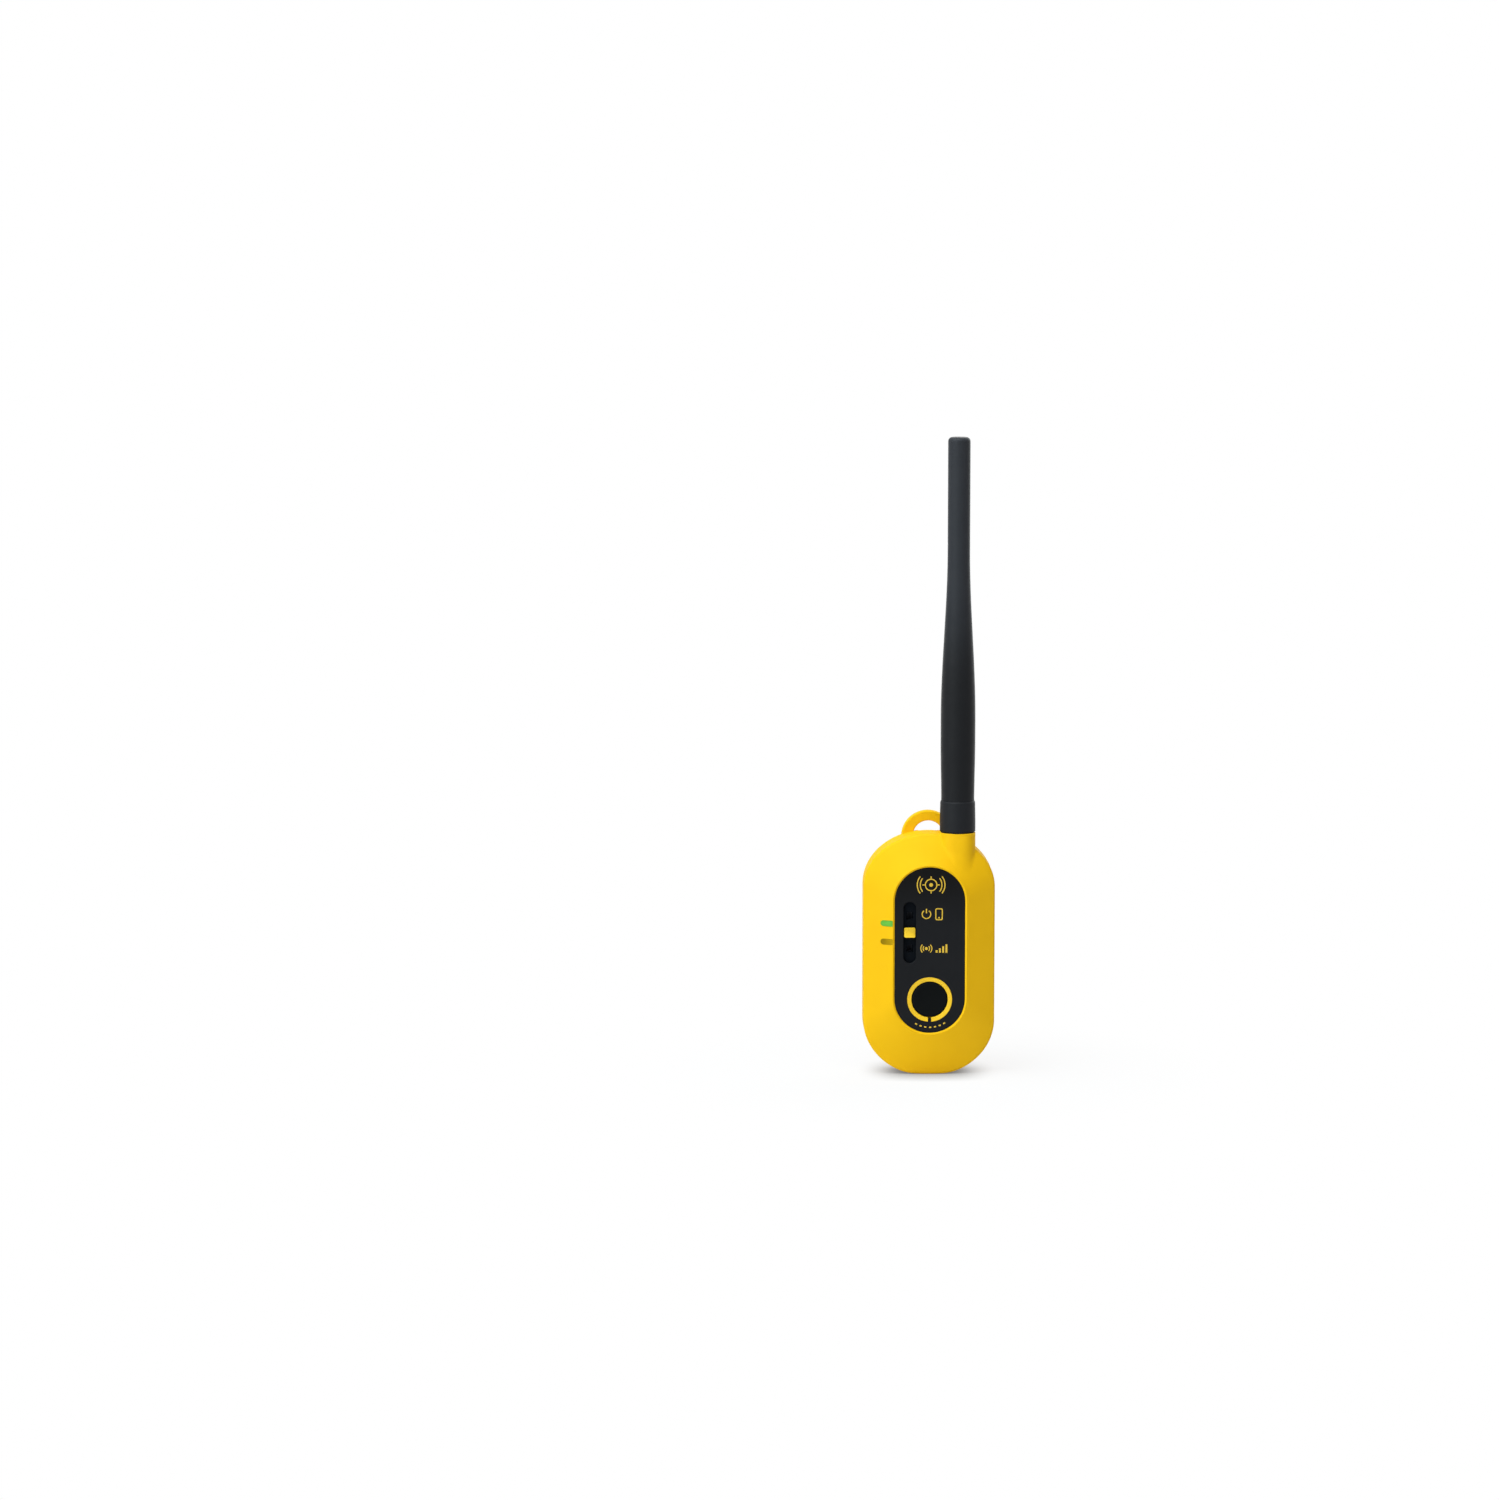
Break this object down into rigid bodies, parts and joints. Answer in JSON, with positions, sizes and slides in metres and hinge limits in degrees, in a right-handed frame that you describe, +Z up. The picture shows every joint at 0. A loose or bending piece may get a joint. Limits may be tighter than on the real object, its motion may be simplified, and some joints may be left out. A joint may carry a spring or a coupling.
{
  "type": "handheld gps unit",
  "caption": "Pill-shaped yellow handheld GPS unit with a sunk black panel, slide switch, round button, lanyard loop, hinged port cover and screw-on whip antenna.",
  "frame": {"origin": "on the flat foot, in the middle of the case's width", "axes": "+Z up along the antenna, -Y out of the control panel, +X to the antenna's side as the panel is read"},
  "size_m": [0.0524, 0.0252, 0.255],
  "materials": {
    "shell_yellow": "satin",
    "back_yellow": "satin",
    "trim_yellow": "satin",
    "thumb_yellow": "satin",
    "panel_black": "satin",
    "track_black": "matt",
    "button_black": "matt",
    "carriage_black": "matt",
    "rubber_black": "satin",
    "collar_black": "satin",
    "cover_rubber": "matt",
    "seal_rubber": "matt",
    "green_lens": "gloss",
    "amber_lens": "gloss",
    "led_white": "gloss",
    "board_green": "satin",
    "shield_metal": "tin plate",
    "radio_metal": "satin",
    "patch_ceramic": "ceramic",
    "battery_foil": "foil",
    "pad_foam": "foam",
    "lead_red": "satin",
    "lead_black": "satin",
    "connector_white": "satin",
    "switch_black": "matt",
    "lever_metal": "satin",
    "brass": "satin",
    "plug_nickel": "nickel plate",
    "port_steel": "satin",
    "screw_steel": "satin"
  },
  "bodies": {
    "case": {"front_shell": "shell_yellow", "rear_shell": "back_yellow", "case_gasket": "seal_rubber", "control_panel": "panel_black", "button_ring": "trim_yellow", "button_seal": "seal_rubber", "tact_switch": "switch_black", "slider_track": "track_black", "slide_switch": "switch_black", "led_lens_green": "green_lens", "led_lens_amber": "amber_lens", "led_chip_green": "led_white", "led_chip_amber": "led_white", "main_board": "board_green", "rf_shield": "shield_metal", "radio_module": "radio_metal", "gps_patch": "patch_ceramic", "battery": "battery_foil", "battery_pad": "pad_foam", "battery_lead_red": "lead_red", "battery_lead_black": "lead_black", "battery_connector": "connector_white", "charge_port": "port_steel", "antenna_socket": "brass", "antenna_seal": "seal_rubber", "case_screw_1": "screw_steel", "case_screw_2": "screw_steel", "case_screw_3": "screw_steel", "case_screw_4": "screw_steel"},
    "button": {"function_button": "button_black", "tact_plunger": "lever_metal"},
    "slider": {"slider_thumb": "thumb_yellow", "slider_carriage": "carriage_black", "slide_switch_lever": "lever_metal"},
    "cover": {"port_cover": "cover_rubber"},
    "antenna_core": {"antenna_radiator": "brass"},
    "antenna": {"antenna_whip": "rubber_black", "antenna_collar": "collar_black", "antenna_plug": "plug_nickel"}
  },
  "joints": [
    {"name": "button_press", "type": "slide", "parent": "case", "child": "button", "axis": [0, 1, 0], "range_m": [0, 0.0008], "stiffness_N_per_m": 2000},
    {"name": "slider_slide", "type": "slide", "parent": "case", "child": "slider", "axis": [0, 0, 1], "range_m": [-0.007, 0.007], "stiffness_N_per_m": 150},
    {"name": "cover_hinge", "type": "hinge", "parent": "case", "child": "cover", "pos_m": [0.0256, -0.0008, 0.0308], "axis": [0, 1, 0], "range_deg": [0, 120]},
    {"name": "antenna_lift", "type": "slide", "parent": "case", "child": "antenna_core", "axis": [0, 0, 1], "range_m": [0, 0.0041]},
    {"name": "antenna_turn", "type": "hinge", "parent": "antenna_core", "child": "antenna", "pos_m": [0.0113, -0.0035, 0.0975], "axis": [0, 0, 1], "range_deg": [0, 1800]}
  ],
  "couplings": [
    {"joint": "antenna_lift", "follows": "antenna_turn", "m_per_rad": 0.0001123}
  ]
}
